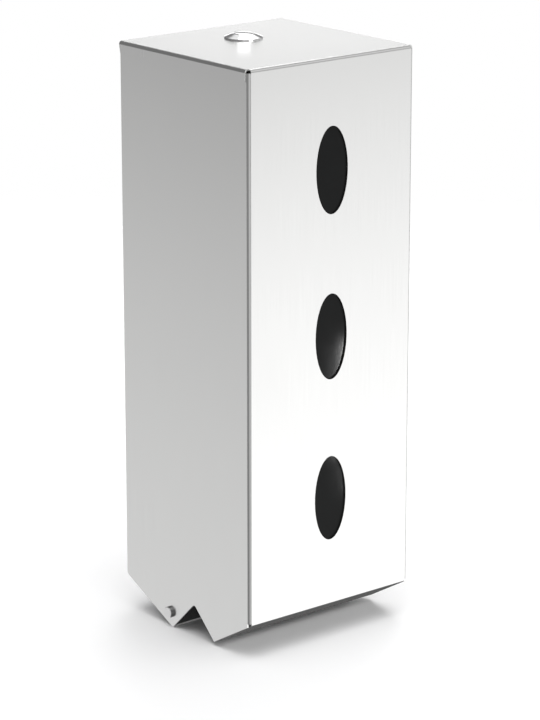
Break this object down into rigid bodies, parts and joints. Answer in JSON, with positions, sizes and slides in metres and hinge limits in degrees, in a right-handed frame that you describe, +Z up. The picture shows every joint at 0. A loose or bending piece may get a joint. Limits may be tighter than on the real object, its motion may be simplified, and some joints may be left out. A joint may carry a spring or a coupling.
{
  "type": "toilet roll storage holder",
  "caption": "Wall-held folded steel holder for stacked toilet rolls, with oval level windows, a sloping outlet below, a cover that tilts on low pins and a cam lock on top.",
  "frame": {"origin": "middle of the four wall slots, on the wall plane", "axes": "+Z up, +Y into the wall, the front faces -Y, +X to the right seen from the front"},
  "size_m": [0.1446, 0.135, 0.4026],
  "materials": {
    "cover_steel": "fine satin, brushed upright",
    "plate_steel": "plain rolled sheet",
    "tray_steel": "dull rolled sheet",
    "smoked_acrylic": "glossy, nearly black",
    "lock_metal": "satin chrome on a turned die casting",
    "pin_steel": "turned",
    "fastener_steel": "plain",
    "nylon": "natural nylon",
    "rubber": "moulded",
    "adhesive_tape": "dull"
  },
  "bodies": {
    "wall_frame": {"wall_plate": "plate_steel", "rear_tray": "tray_steel", "hinge_pin_left": "pin_steel", "hinge_pin_right": "pin_steel", "hinge_spacers": "nylon", "hinge_clips": "fastener_steel", "top_buffers": "rubber"},
    "cover": {"cover_shell": "cover_steel", "window_strip": "smoked_acrylic", "window_tape": "adhesive_tape", "stop_studs": "fastener_steel", "lock_housing": "lock_metal", "lock_nut": "fastener_steel"},
    "lock_core": {"lock_plug": "lock_metal", "lock_cam": "fastener_steel", "cam_washer": "fastener_steel", "cam_screw": "fastener_steel"}
  },
  "joints": [
    {"name": "cover_tilt", "type": "hinge", "parent": "wall_frame", "child": "cover", "pos_m": [0, -0.0489, -0.202], "axis": [1, 0, 0], "range_deg": [0, 40]},
    {"name": "lock_turn", "type": "hinge", "parent": "cover", "child": "lock_core", "pos_m": [0, -0.0437, 0.18], "axis": [0, 0, 1], "range_deg": [0, 90]}
  ]
}
